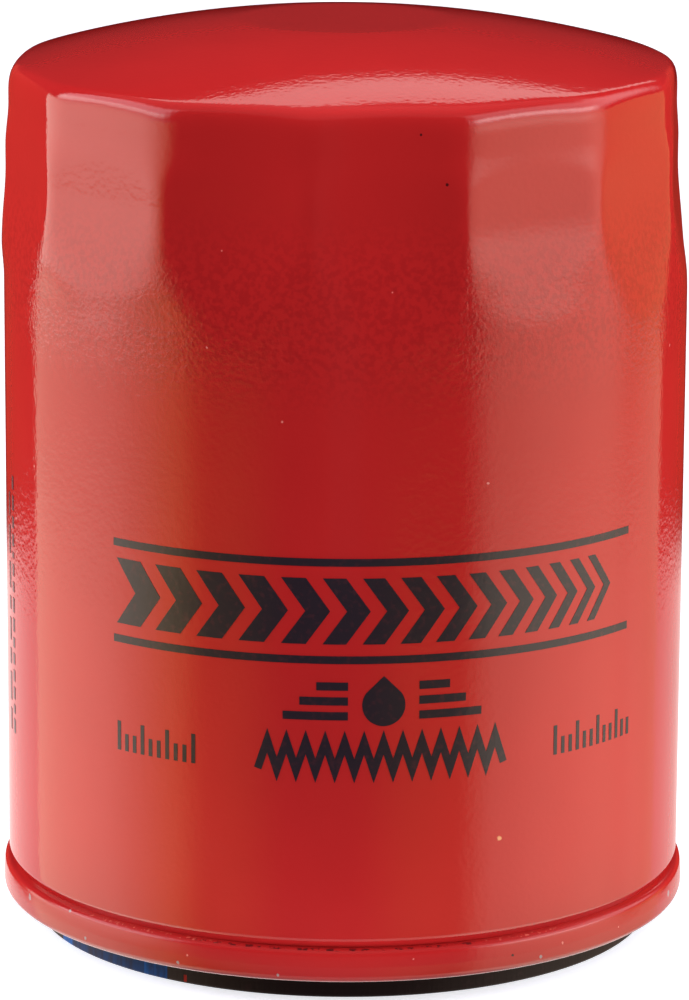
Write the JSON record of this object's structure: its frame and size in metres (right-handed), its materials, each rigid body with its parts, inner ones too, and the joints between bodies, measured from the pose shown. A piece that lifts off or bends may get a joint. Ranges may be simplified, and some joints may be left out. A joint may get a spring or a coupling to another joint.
{
  "type": "spin-on oil filter",
  "caption": "Spin-on engine oil filter: painted steel can with a domed, fluted end, rolled seam and rubber gasket, pleated element and valves inside.",
  "frame": {"origin": "centre of the gasket's sealing face, which is the lowest plane", "axes": "+Z along the can's axis, from the engine end to the domed end; -Y is the printed front"},
  "size_m": [0.0686, 0.0686, 0.0904],
  "materials": {
    "can_paint": "gloss red enamel over drawn steel",
    "lid_plate": "red enamel on the seam, zinc plated inside the gasket",
    "compound": "dried sealing compound",
    "plate_steel": "zinc plated, light oil",
    "gasket_rubber": "moulded nitrile rubber",
    "valve_rubber": "satin moulded rubber",
    "cap_steel": "tin plated stamping",
    "tube_steel": "rolled perforated sheet",
    "filter_paper": "resin impregnated pleated paper",
    "adhesive": "cured plastisol",
    "spring_steel": "drawn spring wire"
  },
  "bodies": {
    "can": {"can_shell": "can_paint", "seaming_lid": "lid_plate", "seam_compound": "compound", "thread_plate": "plate_steel", "base_gasket": "gasket_rubber", "drainback_hub": "valve_rubber", "base_end_cap": "cap_steel", "top_end_cap": "cap_steel", "center_tube": "tube_steel", "pleated_media": "filter_paper", "media_seam_clip": "tube_steel", "bottom_adhesive": "adhesive", "top_adhesive": "adhesive", "bypass_seat": "cap_steel", "bypass_cage": "cap_steel", "element_spring": "spring_steel"},
    "drainback_lip": {"drainback_skirt": "valve_rubber"},
    "bypass_valve": {"bypass_poppet": "cap_steel", "bypass_seal": "gasket_rubber", "bypass_stem": "tube_steel", "bypass_spring": "spring_steel"}
  },
  "joints": [
    {"name": "drainback_lift", "type": "slide", "parent": "can", "child": "drainback_lip", "axis": [0, 0, 1], "range_m": [0, 0.0015], "stiffness_N_per_m": 120, "springref_m": -0.002},
    {"name": "bypass_open", "type": "slide", "parent": "can", "child": "bypass_valve", "axis": [0, 0, -1], "range_m": [0, 0.003], "stiffness_N_per_m": 1500, "springref_m": -0.008, "deforming": ["bypass_spring"]}
  ]
}
